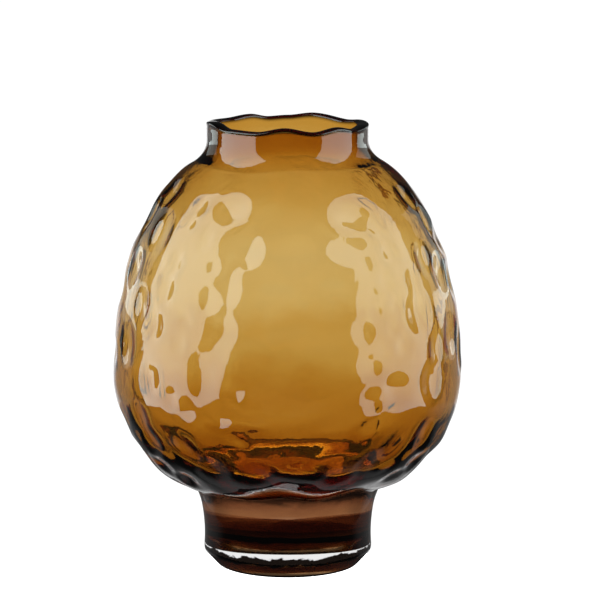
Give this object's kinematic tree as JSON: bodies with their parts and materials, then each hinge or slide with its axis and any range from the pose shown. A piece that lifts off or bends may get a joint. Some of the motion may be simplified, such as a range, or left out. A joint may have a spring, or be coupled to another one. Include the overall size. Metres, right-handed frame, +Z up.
{
  "type": "vase",
  "caption": "Mouth-blown amber glass vase: a hammered egg-shaped body, a short neck with a wavy lip and a solid clear foot. It holds water and cut flowers.",
  "frame": {"origin": "under the middle of the foot, on the surface the vase stands on", "axes": "+Z up along the axis of the vase, -Y towards the viewer of the picture, +X to the viewer's right"},
  "size_m": [0.1939, 0.1936, 0.25],
  "materials": {
    "amber_glass": "fire-polished",
    "dark_amber_glass": "fused inside the foot",
    "clear_glass": "hammered and fire-polished"
  },
  "bodies": {
    "root": {"clear_casing": "clear_glass", "amber_bubble": "amber_glass", "amber_heel": "dark_amber_glass", "clear_foot": "clear_glass"}
  },
  "joints": []
}
